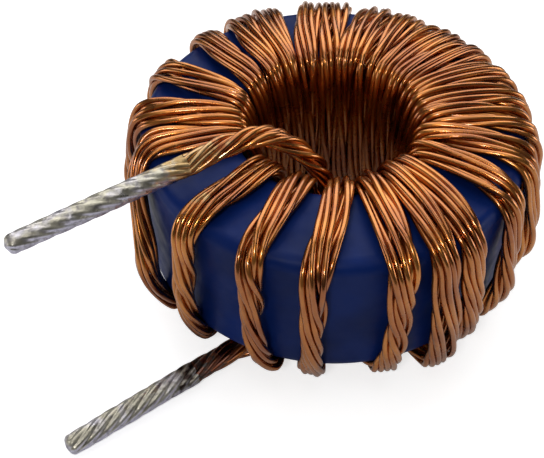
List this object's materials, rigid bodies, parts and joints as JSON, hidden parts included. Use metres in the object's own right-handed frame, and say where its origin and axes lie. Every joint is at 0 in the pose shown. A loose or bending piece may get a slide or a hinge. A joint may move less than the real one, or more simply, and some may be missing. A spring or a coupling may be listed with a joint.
{
  "type": "toroidal inductor",
  "caption": "Blue-coated powder ring core wound with one rope of enamelled copper strands, with two stiff tinned leads leaving side by side.",
  "frame": {"origin": "centre of the ring core, on its axis at half its height", "axes": "+Z along the ring's axis, towards the face that the upper lead crosses; both leads leave towards -X and -Y"},
  "size_m": [0.0607, 0.062, 0.0299],
  "materials": {
    "powder_core": "pressed metal powder, matt dark grey",
    "blue_coating": "glossy deep blue epoxy coating",
    "enamelled_copper": "copper wire under clear glossy enamel",
    "tinned_copper": "tinned copper strands fused with solder, shiny with dull patches"
  },
  "bodies": {
    "root": {"core": "powder_core", "core_coating": "blue_coating", "strand_1": "enamelled_copper", "strand_2": "enamelled_copper", "strand_3": "enamelled_copper", "strand_4": "enamelled_copper", "strand_5": "enamelled_copper", "strand_6": "enamelled_copper", "strand_7": "enamelled_copper", "strand_8": "enamelled_copper", "upper_lead_end": "tinned_copper", "lower_lead_end": "tinned_copper"}
  },
  "joints": []
}
